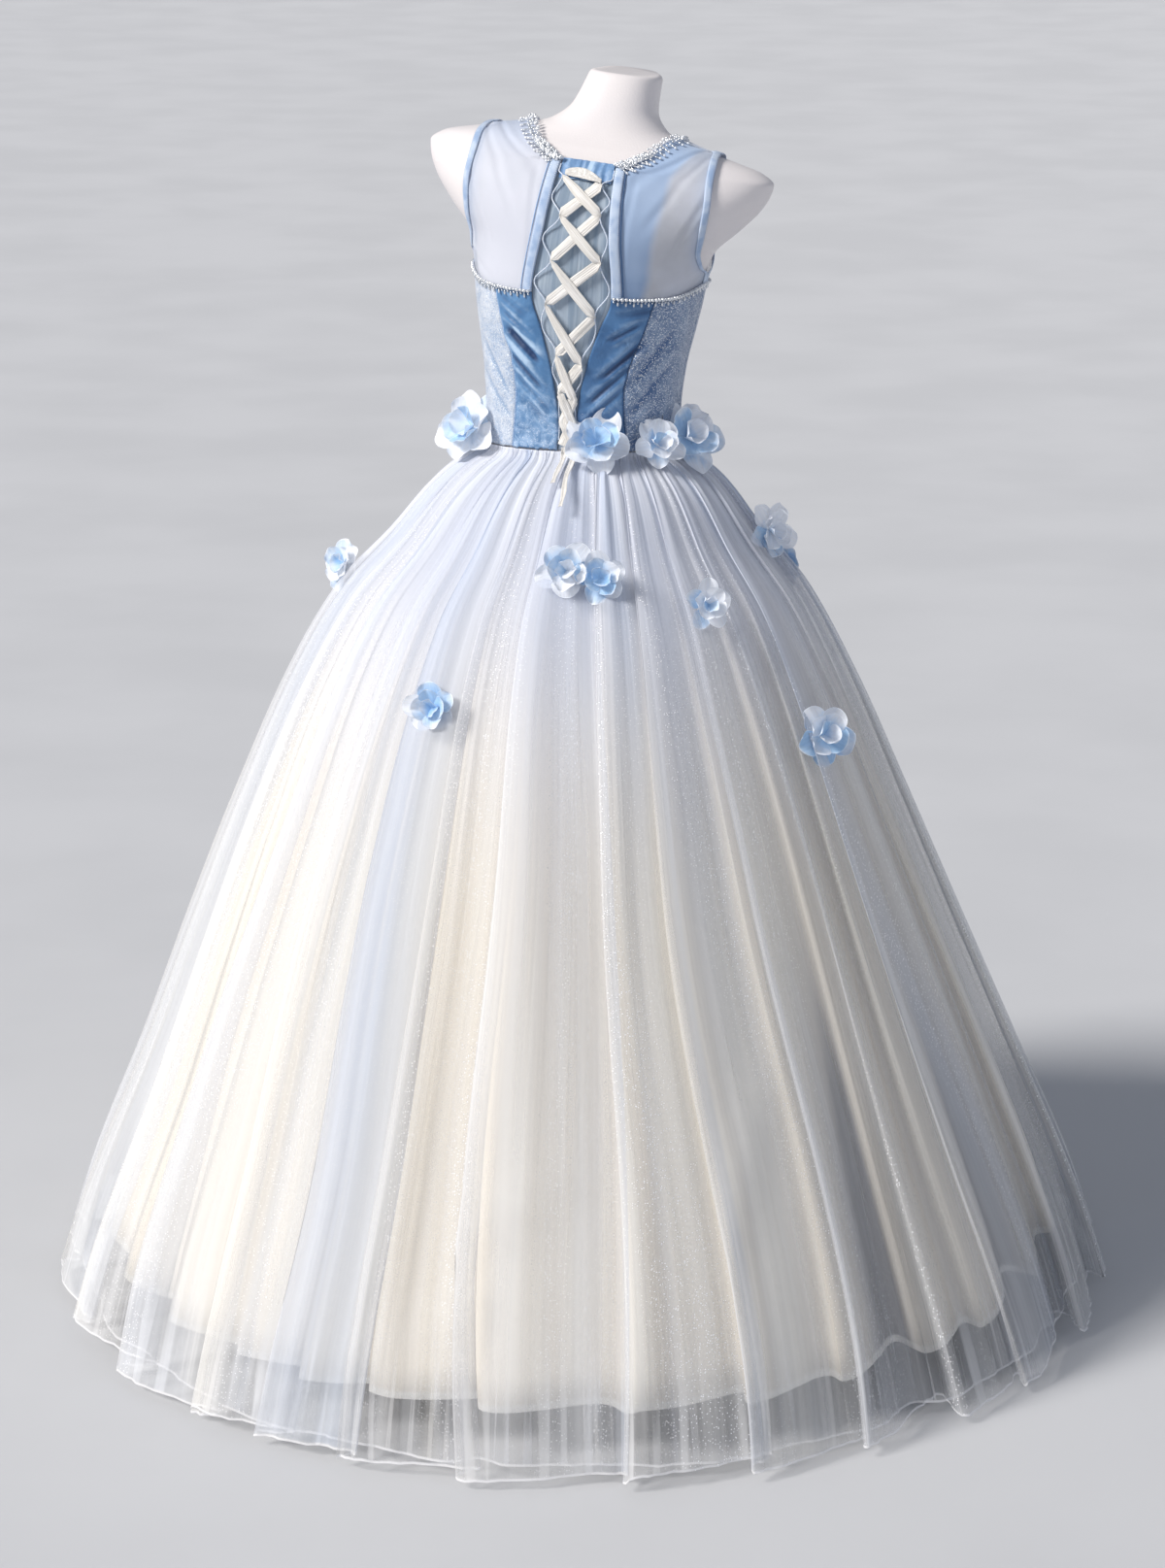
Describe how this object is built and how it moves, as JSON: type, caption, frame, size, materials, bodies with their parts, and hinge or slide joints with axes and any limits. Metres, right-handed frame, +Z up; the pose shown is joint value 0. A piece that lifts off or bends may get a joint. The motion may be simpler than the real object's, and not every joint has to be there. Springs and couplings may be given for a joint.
{
  "type": "prom dress on a dress form",
  "caption": "Blue and white ball gown with a laced open back, sheer yoke, full tulle skirt and organza flowers, standing on a limbless dress form.",
  "frame": {"origin": "centre of the round base's underside, on the floor", "axes": "+Z up, +Y towards the back of the dress, +X towards the wearer's left"},
  "size_m": [1.3248, 1.3242, 1.4691],
  "materials": {
    "form_white": "smooth white cover on a dress form",
    "base_metal": "brushed metal pole and base",
    "bodice_satin": "medium blue satin with soft diagonal creases",
    "bodice_velvet": "crushed velvet with silver glitter",
    "yoke_net": "sheer pale blue net over the white form",
    "pale_binding": "light blue satin binding and cord",
    "modesty_net": "grey-blue sheer panel with upright creases",
    "ivory_ribbon": "ivory satin ribbon",
    "silver_bead": "silver and clear glass beads",
    "tulle": "gathered pale tulle",
    "cream_lining": "cream lining with glitter",
    "flower_organza": "organza petals, blue fading to white"
  },
  "bodies": {
    "root": {"armhole_binding_left": "pale_binding", "armhole_binding_right": "pale_binding", "bodice_back_left": "bodice_satin", "bodice_back_right": "bodice_satin", "bodice_centre_front": "bodice_satin", "bodice_side_back_left": "bodice_velvet", "bodice_side_back_right": "bodice_velvet", "bodice_side_front_left": "bodice_velvet", "bodice_side_front_right": "bodice_velvet", "bust_trim_back_left": "silver_bead", "bust_trim_back_right": "silver_bead", "bust_trim_front": "silver_bead", "flower_01": "flower_organza", "flower_02": "flower_organza", "flower_03": "flower_organza", "flower_04": "flower_organza", "flower_05": "flower_organza", "flower_06": "flower_organza", "flower_07": "flower_organza", "flower_08": "flower_organza", "flower_09": "flower_organza", "flower_10": "flower_organza", "flower_11": "flower_organza", "flower_12": "flower_organza", "flower_13": "flower_organza", "flower_14": "flower_organza", "flower_15": "flower_organza", "flower_16": "flower_organza", "flower_17": "flower_organza", "flower_18": "flower_organza", "flower_19": "flower_organza", "flower_20": "flower_organza", "form_base": "base_metal", "form_pole": "base_metal", "form_torso": "form_white", "lacing_end_left": "ivory_ribbon", "lacing_end_right": "ivory_ribbon", "lacing_first": "ivory_ribbon", "lacing_second": "ivory_ribbon", "loop_strip_left": "pale_binding", "loop_strip_right": "pale_binding", "modesty_panel": "modesty_net", "neckline_trim_back_left": "silver_bead", "neckline_trim_back_right": "silver_bead", "neckline_trim_front": "silver_bead", "placket_binding_left": "pale_binding", "placket_binding_right": "pale_binding", "skirt_lining": "cream_lining", "skirt_tulle_outer": "tulle", "skirt_tulle_under": "tulle", "yoke_back_left": "yoke_net", "yoke_back_right": "yoke_net", "yoke_front": "yoke_net"}
  },
  "joints": []
}
